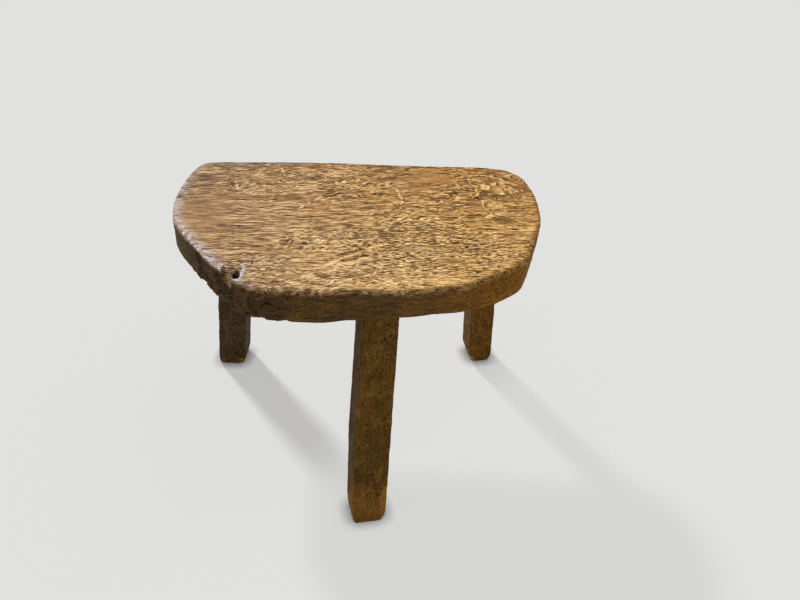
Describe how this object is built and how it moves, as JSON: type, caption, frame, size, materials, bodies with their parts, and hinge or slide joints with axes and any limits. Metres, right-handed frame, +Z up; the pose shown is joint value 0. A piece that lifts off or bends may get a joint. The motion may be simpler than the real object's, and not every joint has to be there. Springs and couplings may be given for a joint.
{
  "type": "three-legged stool",
  "caption": "Low rustic stool: a thick weathered plank seat, straight at the back and rounded at the front, on splayed hewn legs.",
  "frame": {"origin": "on the ground, in the middle of the stool's footprint", "axes": "+Z up; +X along the straight back edge, to the right as seen from the front; -Y towards the single front leg"},
  "size_m": [0.4572, 0.3826, 0.317],
  "materials": {
    "seat_wood": "weathered bare hardwood, raised grain, worn",
    "front_leg_wood": "hewn hardwood, brown patina, bare at the foot",
    "rear_left_leg_wood": "hewn hardwood, very dark patina",
    "rear_right_leg_wood": "hewn hardwood, brown patina, worn foot",
    "wedge_wood": "split hardwood, unfinished"
  },
  "bodies": {
    "root": {"seat_slab": "seat_wood", "front_leg": "front_leg_wood", "rear_left_leg": "rear_left_leg_wood", "rear_right_leg": "rear_right_leg_wood", "front_wedge": "wedge_wood", "rear_left_wedge": "wedge_wood", "rear_right_wedge": "wedge_wood"}
  },
  "joints": []
}
